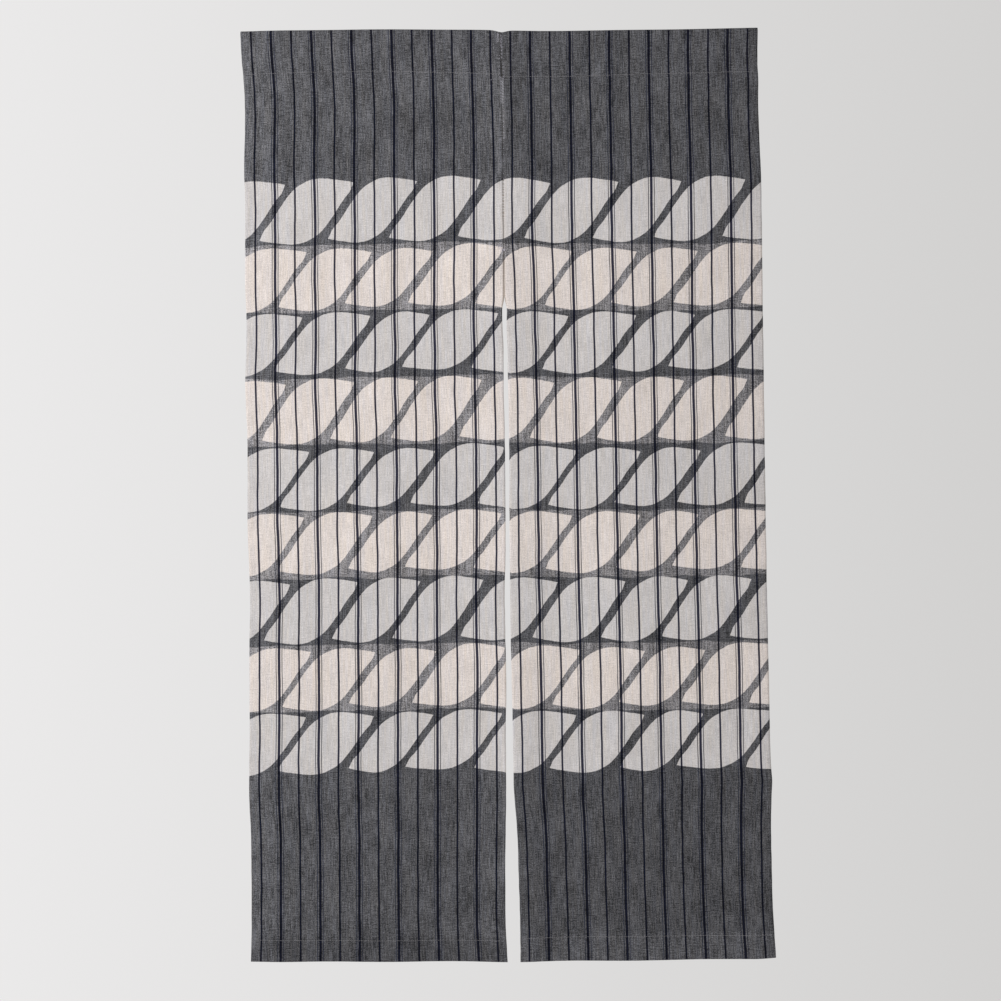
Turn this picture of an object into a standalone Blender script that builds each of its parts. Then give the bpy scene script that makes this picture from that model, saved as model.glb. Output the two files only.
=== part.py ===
"""Noren curtain: two striped cotton panels whip-stitched edge to edge at the head.

Each panel is one sheet of cloth. Its head is folded back and stitched down as a rod
pocket, and its foot is folded up as a hem. The front is -Y and up is +Z, the origin
is the middle of the top edge, and all sizes are metres.
"""

import math
from collections import namedtuple

import bmesh
import bpy

# The sheet
DROP = 1.500  # top fold to foot fold
CLOTH = 0.0012
LAYER_STEP = 0.0020  # middle of one layer to middle of the next, where they are sewn flat
SEAM_GAP = 0.0003  # between the two butted selvedges

# The rod pocket
ROD_ROOM = 0.012  # clear width of the pocket round the rod
POCKET_STITCH = 0.070  # stitch line, below the top edge
POCKET_TURNING = 0.005  # cloth that runs on below that stitch line

# The foot hem
HEM_STITCH = 0.036  # stitch line, above the foot edge
HEM_TURNING = 0.004  # cloth that runs on above that stitch line

# The dip in the top edge where the two panels meet
NOTCH_DEPTH = 0.0030
NOTCH_REACH = 0.010  # how far it spreads to each side
NOTCH_FADE = 0.030  # how far down the cloth it is felt

# The line of thread that joins two layers
SEAM_BEAD = 0.0009  # radius
BEAD_INSET = 0.002  # each end of the line stops this far inside the selvedge

# Steps of the mesh
COLUMNS = 16
MARGIN_CROWDING = 0.45  # how much closer the columns stand at the selvedges
DROP_ROWS = 40
POCKET_ROWS = 4
ROD_ARC_ROWS = 6
HEM_ROWS = 2
HEM_ARC_ROWS = 4

# Places across a panel run from 0 at its left selvedge to 1 at its right one.
# A selvedge row is a drop below the top edge, and the X of the edge there.
Selvedge = namedtuple("Selvedge", "drop x")
# An end row is a place across the panel, and how far the edge there lies above nominal.
End = namedtuple("End", "across lift")
# A fold row is a soft ridge towards the front, or a trough where its depth is negative.
Fold = namedtuple("Fold", "across_head across_foot width depth_head depth_foot")

OUTER_LEFT = (
    Selvedge(0.000, -0.4152),
    Selvedge(0.045, -0.4140),
    Selvedge(0.080, -0.4112),
    Selvedge(0.105, -0.4098),
    Selvedge(0.140, -0.4092),
    Selvedge(0.172, -0.4100),
    Selvedge(0.205, -0.4114),
    Selvedge(0.235, -0.4114),
    Selvedge(0.265, -0.4100),
    Selvedge(0.330, -0.4103),
    Selvedge(0.400, -0.4109),
    Selvedge(0.462, -0.4091),
    Selvedge(0.505, -0.4094),
    Selvedge(0.535, -0.4104),
    Selvedge(0.562, -0.4117),
    Selvedge(0.590, -0.4112),
    Selvedge(0.625, -0.4100),
    Selvedge(0.655, -0.4086),
    Selvedge(0.790, -0.4091),
    Selvedge(0.840, -0.4078),
    Selvedge(0.870, -0.4067),
    Selvedge(0.920, -0.4059),
    Selvedge(1.010, -0.4076),
    Selvedge(1.120, -0.4078),
    Selvedge(1.200, -0.4094),
    Selvedge(1.240, -0.4092),
    Selvedge(1.310, -0.4066),
    Selvedge(1.430, -0.4066),
    Selvedge(1.500, -0.4080),
)
SLIT_LEFT = (
    Selvedge(0.000, 0.0038),
    Selvedge(0.090, 0.0048),
    Selvedge(0.130, 0.0058),
    Selvedge(0.195, 0.0067),
    Selvedge(0.280, 0.0062),
    Selvedge(0.330, 0.0066),
    Selvedge(0.375, 0.0065),
    Selvedge(0.420, 0.0067),
    Selvedge(0.430, 0.0067),
    Selvedge(0.441, 0.0048),
    Selvedge(0.449, 0.0032),
    Selvedge(0.480, 0.0038),
    Selvedge(0.508, 0.0051),
    Selvedge(0.588, 0.0048),
    Selvedge(0.629, 0.0058),
    Selvedge(0.750, 0.0067),
    Selvedge(0.830, 0.0062),
    Selvedge(0.910, 0.0042),
    Selvedge(0.950, 0.0048),
    Selvedge(1.070, 0.0061),
    Selvedge(1.112, 0.0050),
    Selvedge(1.233, 0.0046),
    Selvedge(1.354, 0.0028),
    Selvedge(1.434, 0.0027),
    Selvedge(1.475, 0.0045),
    Selvedge(1.500, 0.0057),
)
SLIT_RIGHT = (
    Selvedge(0.000, 0.0038),
    Selvedge(0.090, 0.0048),
    Selvedge(0.130, 0.0058),
    Selvedge(0.195, 0.0067),
    Selvedge(0.280, 0.0062),
    Selvedge(0.330, 0.0066),
    Selvedge(0.375, 0.0065),
    Selvedge(0.420, 0.0069),
    Selvedge(0.430, 0.0070),
    Selvedge(0.441, 0.0090),
    Selvedge(0.449, 0.0106),
    Selvedge(0.480, 0.0101),
    Selvedge(0.500, 0.0108),
    Selvedge(0.669, 0.0131),
    Selvedge(0.790, 0.0127),
    Selvedge(0.991, 0.0139),
    Selvedge(1.112, 0.0161),
    Selvedge(1.193, 0.0166),
    Selvedge(1.233, 0.0180),
    Selvedge(1.273, 0.0212),
    Selvedge(1.313, 0.0232),
    Selvedge(1.394, 0.0249),
    Selvedge(1.434, 0.0260),
    Selvedge(1.500, 0.0262),
)
OUTER_RIGHT = (
    Selvedge(0.000, 0.4165),
    Selvedge(0.060, 0.4164),
    Selvedge(0.080, 0.4176),
    Selvedge(0.130, 0.4174),
    Selvedge(0.185, 0.4190),
    Selvedge(0.225, 0.4208),
    Selvedge(0.245, 0.4214),
    Selvedge(0.410, 0.4222),
    Selvedge(0.890, 0.4258),
    Selvedge(1.100, 0.4290),
    Selvedge(1.185, 0.4303),
    Selvedge(1.215, 0.4324),
    Selvedge(1.245, 0.4312),
    Selvedge(1.290, 0.4303),
    Selvedge(1.320, 0.4305),
    Selvedge(1.370, 0.4312),
    Selvedge(1.420, 0.4323),
    Selvedge(1.470, 0.4350),
    Selvedge(1.500, 0.4368),
)

LEFT_HEAD = (
    End(0.00, -0.0002),
    End(0.22, 0.0008),
    End(0.55, 0.0014),
    End(0.85, 0.0004),
    End(1.00, -0.0014),
)
LEFT_FOOT = (End(0.0, 0.0006), End(0.45, -0.0002), End(0.7, -0.0010), End(1.0, -0.0018))
RIGHT_HEAD = (End(0.0, -0.0018), End(0.2, -0.0024), End(0.6, -0.0014), End(1.0, 0.0001))
RIGHT_FOOT = (
    End(0.00, -0.0012),
    End(0.35, -0.0010),
    End(0.75, -0.0002),
    End(0.92, 0.0010),
    End(1.00, 0.0042),
)

LEFT_FOLDS = (
    Fold(0.00, 0.00, 0.040, -0.0020, -0.0035),
    Fold(0.13, 0.10, 0.060, 0.0012, 0.0030),
    Fold(0.33, 0.30, 0.070, -0.0010, -0.0022),
    Fold(0.52, 0.50, 0.075, 0.0010, 0.0024),
    Fold(0.76, 0.79, 0.070, -0.0016, -0.0042),
    Fold(1.00, 1.00, 0.045, 0.0020, 0.0045),
)
RIGHT_FOLDS = (
    Fold(0.00, 0.00, 0.050, 0.0020, 0.0060),
    Fold(0.24, 0.20, 0.065, -0.0014, -0.0028),
    Fold(0.46, 0.44, 0.070, 0.0008, 0.0026),
    Fold(0.68, 0.71, 0.070, -0.0012, -0.0034),
    Fold(0.86, 0.88, 0.050, 0.0008, 0.0010),
    Fold(1.00, 1.00, 0.040, 0.0018, 0.0085),
)

COTTON_COLOUR = (0.21, 0.21, 0.225, 1.0)
COTTON_ROUGHNESS = 0.92


def along(rows, at):
    """Height of the smooth curve through a table's rows at a place on its first column."""
    places = [row[0] for row in rows]
    heights = [row[1] for row in rows]
    slopes = []
    for index in range(len(rows)):
        before = max(index - 1, 0)
        after = min(index + 1, len(rows) - 1)
        slopes.append((heights[after] - heights[before]) / (places[after] - places[before]))
    at = min(max(at, places[0]), places[-1])
    step = next(i for i in range(len(rows) - 1) if at <= places[i + 1])
    span = places[step + 1] - places[step]
    t = (at - places[step]) / span
    return (
        heights[step] * (1 + 2 * t) * (1 - t) ** 2
        + slopes[step] * span * t * (1 - t) ** 2
        + heights[step + 1] * t * t * (3 - 2 * t)
        - slopes[step + 1] * span * t * t * (1 - t)
    )


def blend(low, high, t):
    return low + (high - low) * t


def section():
    """One panel's cut from head to foot, as (drop, set back) of the middle of the sheet.

    It starts at the lower end of the pocket's back layer, runs up over the rod and down
    the front, and ends at the upper end of the hem's back layer.
    """
    radius = (ROD_ROOM + CLOTH) / 2
    rod_drop = radius + CLOTH / 2
    stations = [(POCKET_STITCH + POCKET_TURNING, LAYER_STEP)]
    for row in range(POCKET_ROWS):
        t = row / POCKET_ROWS
        stations.append((blend(POCKET_STITCH, rod_drop, t), blend(LAYER_STEP, radius, t)))
    for row in range(ROD_ARC_ROWS + 1):
        turn = math.pi * row / ROD_ARC_ROWS
        stations.append((rod_drop - radius * math.sin(turn), radius * math.cos(turn)))
    for row in range(1, POCKET_ROWS + 1):
        t = row / POCKET_ROWS
        stations.append((blend(rod_drop, POCKET_STITCH, t), blend(-radius, 0.0, t)))
    fold_radius = LAYER_STEP / 2
    fold_drop = DROP - CLOTH / 2 - fold_radius
    hem_drop = DROP - HEM_STITCH
    for row in range(1, DROP_ROWS + 1):
        stations.append((blend(POCKET_STITCH, hem_drop, row / DROP_ROWS), 0.0))
    for row in range(1, HEM_ROWS):
        stations.append((blend(hem_drop, fold_drop, row / HEM_ROWS), 0.0))
    for row in range(HEM_ARC_ROWS + 1):
        turn = math.pi * row / HEM_ARC_ROWS
        set_back = fold_radius * (1 - math.cos(turn))
        stations.append((fold_drop + fold_radius * math.sin(turn), set_back))
    for row in range(1, HEM_ROWS + 1):
        stations.append((blend(fold_drop, hem_drop, row / HEM_ROWS), LAYER_STEP))
    stations.append((hem_drop - HEM_TURNING, LAYER_STEP))
    return stations


class Panel:
    """The shape in which one panel hangs."""

    def __init__(self, left, right, seam_at, head, foot, folds):
        self.left = left
        self.right = right
        self.seam_at = seam_at
        self.head = head
        self.foot = foot
        self.folds = folds

    def place(self, across, drop, set_back):
        """Point of the sheet at a share of its width, a drop, and a distance behind the front."""
        left = along(self.left, drop)
        right = along(self.right, drop)
        x = blend(left, right, across)
        share = drop / DROP
        y = set_back - self.ridge(x - left, right - left, share)
        z = blend(along(self.head, across), along(self.foot, across), share) - drop
        z -= self.notch(abs(across - self.seam_at) * (right - left), drop)
        return x, y, z

    def notch(self, from_seam, drop):
        """How far the seam pulls the cloth down at a distance from it."""
        return NOTCH_DEPTH * math.exp(-((from_seam / NOTCH_REACH) ** 2) - (drop / NOTCH_FADE) ** 2)

    def ridge(self, inside, width, share):
        """How far the folds bring the cloth forward."""
        total = 0.0
        for fold in self.folds:
            centre = width * blend(fold.across_head, fold.across_foot, share)
            depth = blend(fold.depth_head, fold.depth_foot, share)
            total += depth * math.exp(-(((inside - centre) / fold.width) ** 2))
        return total


def crowded(step):
    """Place across the panel of a column, with the columns closer at the selvedges."""
    t = step / COLUMNS
    return t - MARGIN_CROWDING * math.sin(2 * math.pi * t) / (2 * math.pi)


def cotton(name):
    material = bpy.data.materials.new(name)
    material.use_nodes = True
    shader = material.node_tree.nodes["Principled BSDF"]
    shader.inputs["Base Color"].default_value = COTTON_COLOUR
    shader.inputs["Roughness"].default_value = COTTON_ROUGHNESS
    shader.inputs["Metallic"].default_value = 0.0
    return material


def add_collection(name):
    collection = bpy.data.collections.new(name)
    bpy.context.scene.collection.children.link(collection)
    return collection


def sheet_mesh(name, panel):
    """A grid wrapped along the panel's section."""
    stations = section()
    rows = len(stations) - 1
    grid = bmesh.new()
    bmesh.ops.create_grid(grid, x_segments=COLUMNS, y_segments=rows, size=1.0)
    for vertex in grid.verts:
        column = round((vertex.co.x + 1) / 2 * COLUMNS)
        row = round((vertex.co.y + 1) / 2 * rows)
        vertex.co = panel.place(crowded(column), *stations[row])
    mesh = bpy.data.meshes.new(name)
    grid.to_mesh(mesh)
    grid.free()
    return mesh


def seam_bead(name, panel, drop, helpers):
    """The thread line that holds a turned layer to the front layer, as a closed rod."""
    inset = BEAD_INSET / (along(panel.right, drop) - along(panel.left, drop))
    spline_data = bpy.data.curves.new(name, "CURVE")
    spline_data.dimensions = "3D"
    spline_data.bevel_depth = SEAM_BEAD
    spline_data.bevel_resolution = 1
    spline_data.use_fill_caps = True
    spline = spline_data.splines.new("POLY")
    spline.points.add(COLUMNS)
    for step, point in enumerate(spline.points):
        across = min(max(crowded(step), inset), 1 - inset)
        point.co = (*panel.place(across, drop, LAYER_STEP / 2), 1.0)
    curve = bpy.data.objects.new(name + "_line", spline_data)
    helpers.objects.link(curve)
    graph = bpy.context.evaluated_depsgraph_get()
    mesh = bpy.data.meshes.new_from_object(curve.evaluated_get(graph))
    bpy.data.objects.remove(curve)
    welded = bmesh.new()
    welded.from_mesh(mesh)
    bmesh.ops.remove_doubles(welded, verts=welded.verts, dist=1e-6)
    welded.to_mesh(mesh)
    welded.free()
    bead = bpy.data.objects.new(name, mesh)
    bead.hide_render = True
    bead.display_type = "WIRE"
    helpers.objects.link(bead)
    return bead


def add_panel(name, panel, parts, helpers):
    """One panel: the folded sheet, its thickness, and its two rows of stitching."""
    mesh = sheet_mesh(name, panel)
    mesh.materials.append(cotton(name + "_cotton"))
    mesh.shade_smooth()
    cloth = bpy.data.objects.new(name, mesh)
    parts.objects.link(cloth)
    thickness = cloth.modifiers.new("Cloth thickness", "SOLIDIFY")
    thickness.thickness = CLOTH
    thickness.offset = 0.0
    thickness.use_even_offset = True
    for seam, drop in (("pocket", POCKET_STITCH), ("hem", DROP - HEM_STITCH)):
        join = cloth.modifiers.new(seam + " stitching", "BOOLEAN")
        join.operation = "UNION"
        join.solver = "EXACT"
        join.object = seam_bead(name + "_" + seam + "_seam", panel, drop, helpers)
    return cloth


def butted(selvedge, side):
    """A slit edge moved half the seam's gap away from its neighbour."""
    return tuple(Selvedge(row.drop, row.x + side * SEAM_GAP / 2) for row in selvedge)


def main():
    for leftover in list(bpy.data.objects):
        bpy.data.objects.remove(leftover)
    parts = add_collection("noren_curtain")
    helpers = add_collection("seam_helpers")
    helpers.hide_render = True
    left = Panel(OUTER_LEFT, butted(SLIT_LEFT, -1), 1.0, LEFT_HEAD, LEFT_FOOT, LEFT_FOLDS)
    right = Panel(butted(SLIT_RIGHT, 1), OUTER_RIGHT, 0.0, RIGHT_HEAD, RIGHT_FOOT, RIGHT_FOLDS)
    add_panel("panel_left", left, parts, helpers)
    add_panel("panel_right", right, parts, helpers)


main()
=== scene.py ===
"""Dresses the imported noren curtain: two panels of striped cotton with a rope repeat.

Laid out as an add-on and run as a script. The front is -Y, up is +Z, the origin is the
middle of the top edge, and lengths are metres except where a name ends in MM.
"""

import math
import random
from collections import namedtuple

import bmesh
import bpy
from bpy.props import FloatProperty, FloatVectorProperty, IntProperty, PointerProperty
from mathutils import Matrix, Vector, noise


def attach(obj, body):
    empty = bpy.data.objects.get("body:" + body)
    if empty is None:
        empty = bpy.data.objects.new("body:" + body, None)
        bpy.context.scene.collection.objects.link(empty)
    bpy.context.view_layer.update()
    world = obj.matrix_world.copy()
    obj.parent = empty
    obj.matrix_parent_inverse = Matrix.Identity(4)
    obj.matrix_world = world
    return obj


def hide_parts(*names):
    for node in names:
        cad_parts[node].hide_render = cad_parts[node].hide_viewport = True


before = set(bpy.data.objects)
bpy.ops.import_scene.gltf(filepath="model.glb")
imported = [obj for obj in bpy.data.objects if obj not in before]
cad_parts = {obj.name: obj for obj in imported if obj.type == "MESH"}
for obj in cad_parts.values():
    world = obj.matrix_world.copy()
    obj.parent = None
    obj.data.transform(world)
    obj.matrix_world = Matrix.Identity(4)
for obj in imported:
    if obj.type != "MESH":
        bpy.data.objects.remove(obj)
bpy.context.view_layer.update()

bl_info = {
    "name": "Noren curtain",
    "version": (1, 0, 0),
    "blender": (4, 5, 0),
    "location": "3D View > Sidebar > Noren",
    "description": "Builds a two-panel striped cotton noren over its packed frame",
    "category": "Object",
}

# Places across a panel run from 0 at its left selvedge to 1 at its right one.
# A selvedge row is a drop below the top edge, and the X of the edge there.
Selvedge = namedtuple("Selvedge", "drop x")
# An end row is a place across the panel, and how far the edge there lies above nominal.
End = namedtuple("End", "across lift")
# A line row is a place across the panel, and how far below nominal a stitch line runs there.
Line = namedtuple("Line", "across below")
# A fold row is a soft ridge towards the front, or a trough where its depth is negative.
Fold = namedtuple("Fold", "across_head across_foot width depth_head depth_foot")

OUTER_LEFT = (
    Selvedge(0.000, -0.4152),
    Selvedge(0.045, -0.4140),
    Selvedge(0.080, -0.4112),
    Selvedge(0.105, -0.4098),
    Selvedge(0.140, -0.4092),
    Selvedge(0.172, -0.4100),
    Selvedge(0.205, -0.4114),
    Selvedge(0.235, -0.4114),
    Selvedge(0.265, -0.4100),
    Selvedge(0.330, -0.4103),
    Selvedge(0.400, -0.4109),
    Selvedge(0.462, -0.4091),
    Selvedge(0.505, -0.4094),
    Selvedge(0.535, -0.4104),
    Selvedge(0.562, -0.4117),
    Selvedge(0.590, -0.4112),
    Selvedge(0.625, -0.4100),
    Selvedge(0.655, -0.4086),
    Selvedge(0.790, -0.4091),
    Selvedge(0.840, -0.4078),
    Selvedge(0.870, -0.4067),
    Selvedge(0.920, -0.4059),
    Selvedge(1.010, -0.4076),
    Selvedge(1.120, -0.4078),
    Selvedge(1.200, -0.4094),
    Selvedge(1.240, -0.4092),
    Selvedge(1.310, -0.4066),
    Selvedge(1.430, -0.4066),
    Selvedge(1.500, -0.4080),
)
SLIT_LEFT = (
    Selvedge(0.000, 0.0038),
    Selvedge(0.090, 0.0048),
    Selvedge(0.130, 0.0058),
    Selvedge(0.195, 0.0067),
    Selvedge(0.280, 0.0062),
    Selvedge(0.330, 0.0066),
    Selvedge(0.375, 0.0065),
    Selvedge(0.420, 0.0067),
    Selvedge(0.430, 0.0067),
    Selvedge(0.441, 0.0048),
    Selvedge(0.449, 0.0032),
    Selvedge(0.480, 0.0038),
    Selvedge(0.508, 0.0051),
    Selvedge(0.588, 0.0048),
    Selvedge(0.629, 0.0058),
    Selvedge(0.750, 0.0067),
    Selvedge(0.830, 0.0062),
    Selvedge(0.910, 0.0042),
    Selvedge(0.950, 0.0048),
    Selvedge(1.070, 0.0061),
    Selvedge(1.112, 0.0050),
    Selvedge(1.233, 0.0046),
    Selvedge(1.354, 0.0028),
    Selvedge(1.434, 0.0027),
    Selvedge(1.475, 0.0045),
    Selvedge(1.500, 0.0057),
)
SLIT_RIGHT = (
    Selvedge(0.000, 0.0038),
    Selvedge(0.090, 0.0048),
    Selvedge(0.130, 0.0058),
    Selvedge(0.195, 0.0067),
    Selvedge(0.280, 0.0062),
    Selvedge(0.330, 0.0066),
    Selvedge(0.375, 0.0065),
    Selvedge(0.420, 0.0069),
    Selvedge(0.430, 0.0070),
    Selvedge(0.441, 0.0090),
    Selvedge(0.449, 0.0106),
    Selvedge(0.480, 0.0101),
    Selvedge(0.500, 0.0108),
    Selvedge(0.669, 0.0131),
    Selvedge(0.790, 0.0127),
    Selvedge(0.991, 0.0139),
    Selvedge(1.112, 0.0161),
    Selvedge(1.193, 0.0166),
    Selvedge(1.233, 0.0180),
    Selvedge(1.273, 0.0212),
    Selvedge(1.313, 0.0232),
    Selvedge(1.394, 0.0249),
    Selvedge(1.434, 0.0260),
    Selvedge(1.500, 0.0262),
)
OUTER_RIGHT = (
    Selvedge(0.000, 0.4165),
    Selvedge(0.060, 0.4164),
    Selvedge(0.080, 0.4176),
    Selvedge(0.130, 0.4174),
    Selvedge(0.185, 0.4190),
    Selvedge(0.225, 0.4208),
    Selvedge(0.245, 0.4214),
    Selvedge(0.410, 0.4222),
    Selvedge(0.890, 0.4258),
    Selvedge(1.100, 0.4290),
    Selvedge(1.185, 0.4303),
    Selvedge(1.215, 0.4324),
    Selvedge(1.245, 0.4312),
    Selvedge(1.290, 0.4303),
    Selvedge(1.320, 0.4305),
    Selvedge(1.370, 0.4312),
    Selvedge(1.420, 0.4323),
    Selvedge(1.470, 0.4350),
    Selvedge(1.500, 0.4368),
)

# Where the slit closes and opens only a narrow strip at the selvedge moves, and the cloth
# inside it hangs straighter: how far that cloth lies to the right of an even spread
Body = namedtuple("Body", "drop aside")
LEFT_BODY = (
    Body(0.000, 0.0),
    Body(0.110, 0.0),
    Body(0.200, -0.0007),
    Body(0.340, -0.0010),
    Body(0.375, -0.0016),
    Body(0.420, -0.0023),
    Body(0.430, -0.0022),
    Body(0.441, -0.0008),
    Body(0.449, 0.0003),
    Body(0.480, 0.0),
    Body(1.500, 0.0),
)
RIGHT_BODY = (
    Body(0.000, 0.0),
    Body(0.110, 0.0),
    Body(0.200, -0.0006),
    Body(0.340, -0.0010),
    Body(0.375, 0.0010),
    Body(0.420, 0.0027),
    Body(0.430, 0.0027),
    Body(0.441, 0.0010),
    Body(0.449, -0.0003),
    Body(0.480, 0.0),
    Body(1.500, 0.0),
)
BODY_INSET = 0.012  # how far in from the selvedge the straighter cloth begins

LEFT_HEAD = (
    End(0.00, -0.0002),
    End(0.22, 0.0008),
    End(0.55, 0.0014),
    End(0.85, 0.0004),
    End(1.00, -0.0014),
)
LEFT_FOOT = (End(0.0, 0.0006), End(0.45, -0.0002), End(0.7, -0.0010), End(1.0, -0.0018))
RIGHT_HEAD = (End(0.0, -0.0018), End(0.2, -0.0024), End(0.6, -0.0014), End(1.0, 0.0001))
RIGHT_FOOT = (
    End(0.00, -0.0012),
    End(0.35, -0.0010),
    End(0.75, -0.0002),
    End(0.92, 0.0010),
    End(1.00, 0.0042),
)
NOTCH_DEPTH = 0.0030  # how far the seam pulls the top edge down
NOTCH_REACH = 0.010  # how far that spreads to each side
NOTCH_FADE = 0.030  # how far down the cloth it is felt

LEFT_POCKET_LINE = (Line(0.0, -0.0005), Line(0.45, -0.0030), Line(0.9, -0.0005), Line(1.0, 0.0010))
LEFT_HEM_LINE = (Line(0.0, 0.0010), Line(0.5, 0.0020), Line(1.0, 0.0015))
RIGHT_POCKET_LINE = (Line(0.0, 0.0040), Line(0.35, 0.0030), Line(0.6, 0.0010), Line(1.0, 0.0))
RIGHT_HEM_LINE = (Line(0.0, -0.0020), Line(0.5, -0.0030), Line(1.0, -0.0020))

LEFT_FOLDS = (
    Fold(0.00, 0.00, 0.040, -0.0020, -0.0035),
    Fold(0.13, 0.10, 0.060, 0.0012, 0.0030),
    Fold(0.33, 0.30, 0.070, -0.0010, -0.0022),
    Fold(0.52, 0.50, 0.075, 0.0010, 0.0024),
    Fold(0.76, 0.79, 0.070, -0.0016, -0.0042),
    Fold(1.00, 1.00, 0.045, 0.0020, 0.0045),
)
RIGHT_FOLDS = (
    Fold(0.00, 0.00, 0.050, 0.0020, 0.0060),
    Fold(0.24, 0.20, 0.065, -0.0014, -0.0028),
    Fold(0.46, 0.44, 0.070, 0.0008, 0.0026),
    Fold(0.68, 0.71, 0.070, -0.0012, -0.0034),
    Fold(0.86, 0.88, 0.050, 0.0008, 0.0010),
    Fold(1.00, 1.00, 0.040, 0.0018, 0.0085),
)

# A thread row is a distance left of the seam, a drop, and how far the thread stands off there.
ThreadPoint = namedtuple("ThreadPoint", "from_seam drop proud")
THREAD_END = (
    ThreadPoint(0.0010, 0.3570, 0.0000),
    ThreadPoint(0.0024, 0.3560, 0.0004),
    ThreadPoint(0.0038, 0.3535, 0.0008),
    ThreadPoint(0.0043, 0.3500, 0.0010),
    ThreadPoint(0.0052, 0.3465, 0.0012),
    ThreadPoint(0.0068, 0.3452, 0.0012),
    ThreadPoint(0.0082, 0.3468, 0.0010),
    ThreadPoint(0.0080, 0.3500, 0.0006),
    ThreadPoint(0.0066, 0.3520, 0.0002),
)

# A seam row is a stretch of like stitches down the middle seam: its first and last drop, the
# step between stitches, where each begins and ends to the right of the seam, and its slant.
SeamRun = namedtuple("SeamRun", "first last step begin end slant")
SEAM_RUNS = (
    SeamRun(0.0050, 0.0185, 0.0030, -0.0062, -0.0036, 0.0020),
    SeamRun(0.0060, 0.0260, 0.0030, -0.0012, 0.0012, 0.0020),
    SeamRun(0.0260, 0.0420, 0.0056, -0.0006, 0.0016, 0.0012),
    SeamRun(0.0400, 0.0740, 0.0056, -0.0040, -0.0024, 0.0012),
    SeamRun(0.0520, 0.0740, 0.0050, 0.0020, 0.0036, -0.0010),
    SeamRun(0.0745, 0.0746, 0.0040, -0.0032, 0.0036, 0.0003),
    SeamRun(0.0800, 0.1180, 0.0052, -0.0024, 0.0026, 0.0016),
    SeamRun(0.1200, 0.1780, 0.0080, 0.0000, 0.0020, 0.0014),
    SeamRun(0.1800, 0.2400, 0.0095, -0.0004, 0.0008, 0.0012),
    SeamRun(0.3520, 0.3552, 0.0008, -0.0020, 0.0020, 0.0000),
)
# A nep is a fleck of pale fibre caught in the cloth: a place across both panels, and a drop.
Nep = namedtuple("Nep", "across drop")
NEPS = (Nep(0.2170, 0.1085), Nep(0.3975, 0.0795), Nep(0.4165, 0.3065), Nep(0.6620, 0.1810))

SEAM_GAP = 0.00004  # the two selvedges meet, with only a hair between them
SEAM_DROP = 0.355  # where the whip stitch ends, and below it the selvedges hang unsewn
PANEL_WIDTH = 0.415  # flat width of one loom-width panel
DROP = 1.5  # top fold to foot fold

# How near to its stitch line the cloth follows it
POCKET_REACH = 0.035
HEM_REACH = 0.018
# A selvedge's small wander: two lengths down the cloth, how far each moves it, and how far
# below the whip stitch it comes to its whole size
SLOW_WAVER = 0.055
SLOW_WAVER_REACH = 0.0004
QUICK_WAVER = 0.018
QUICK_WAVER_REACH = 0.0003
WAVER_GROWTH = 0.05
# A ripple is a length across the cloth, a length down it, and how far it moves the cloth.
Ripple = namedtuple("Ripple", "across down depth")
SLOW_CRUMPLE = Ripple(0.075, 0.30, 0.0009)
QUICK_CRUMPLE = Ripple(0.022, 0.10, 0.0003)
PUCKER = Ripple(0.0085, 0.06, 0.0004)
HEAD_SETTLE = 0.05  # how far down the crumples come to their whole size

# The machine's stitches: how far in from a selvedge the first begins, the space between two,
# how far they wander up and down, and how many are joined at a time
STITCH_INSET = 0.002
STITCH_SPACE = 0.0006
STITCH_WANDER = 0.00018
STITCH_BATCH = 24
# The hand's stitches: how much their ends and steps vary, and how thick their thread lies
HAND_SPREAD = (0.85, 1.15)
THREAD_SPREAD = (0.5, 0.75)

# The woven stripes and the printed rope, in millimetres of cloth
PANEL_WIDTH_MM = PANEL_WIDTH * 1000
STRIPE_PITCH_MM = 32.0
FIRST_STRIPE_MM = 16.4  # on the left panel
STRIPE_STEP_MM = 1.7  # how much nearer to its left selvedge the right panel's first bar is
THIN_BAR_MM = 3.05
THICK_BAR_MM = 4.25
BAR_EDGE_MM = 0.5  # how soft the bars' edges are
BAR_WANDER_MM = 2.2
BAR_WANDER_LENGTH_MM = 70
LANE_STEP = 7.3  # keeps the wander of one bar apart from that of the next
FLANK_MM = 1.25  # width of the fine blue threads at each side of a thick bar
FLANK_OUT_MM = 4.75  # from the bar's middle to theirs
FLANK_EDGE_MM = 0.4
FLANK_SHARE = 0.94  # how much of the ground they hide
DROP_MM = DROP * 1000
PRINT_TOP_MM = 240.7  # the first row's upper limit
ROW_MM = 107.3  # height of a row of the print
PRINT_LEAN = 0.0009  # how far the print drifts to the right for each millimetre down
PRINT_ROWS = 9
REPEAT_MM = 427.0  # length of a rope's repeat
STRANDS_IN_REPEAT = 4

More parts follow.
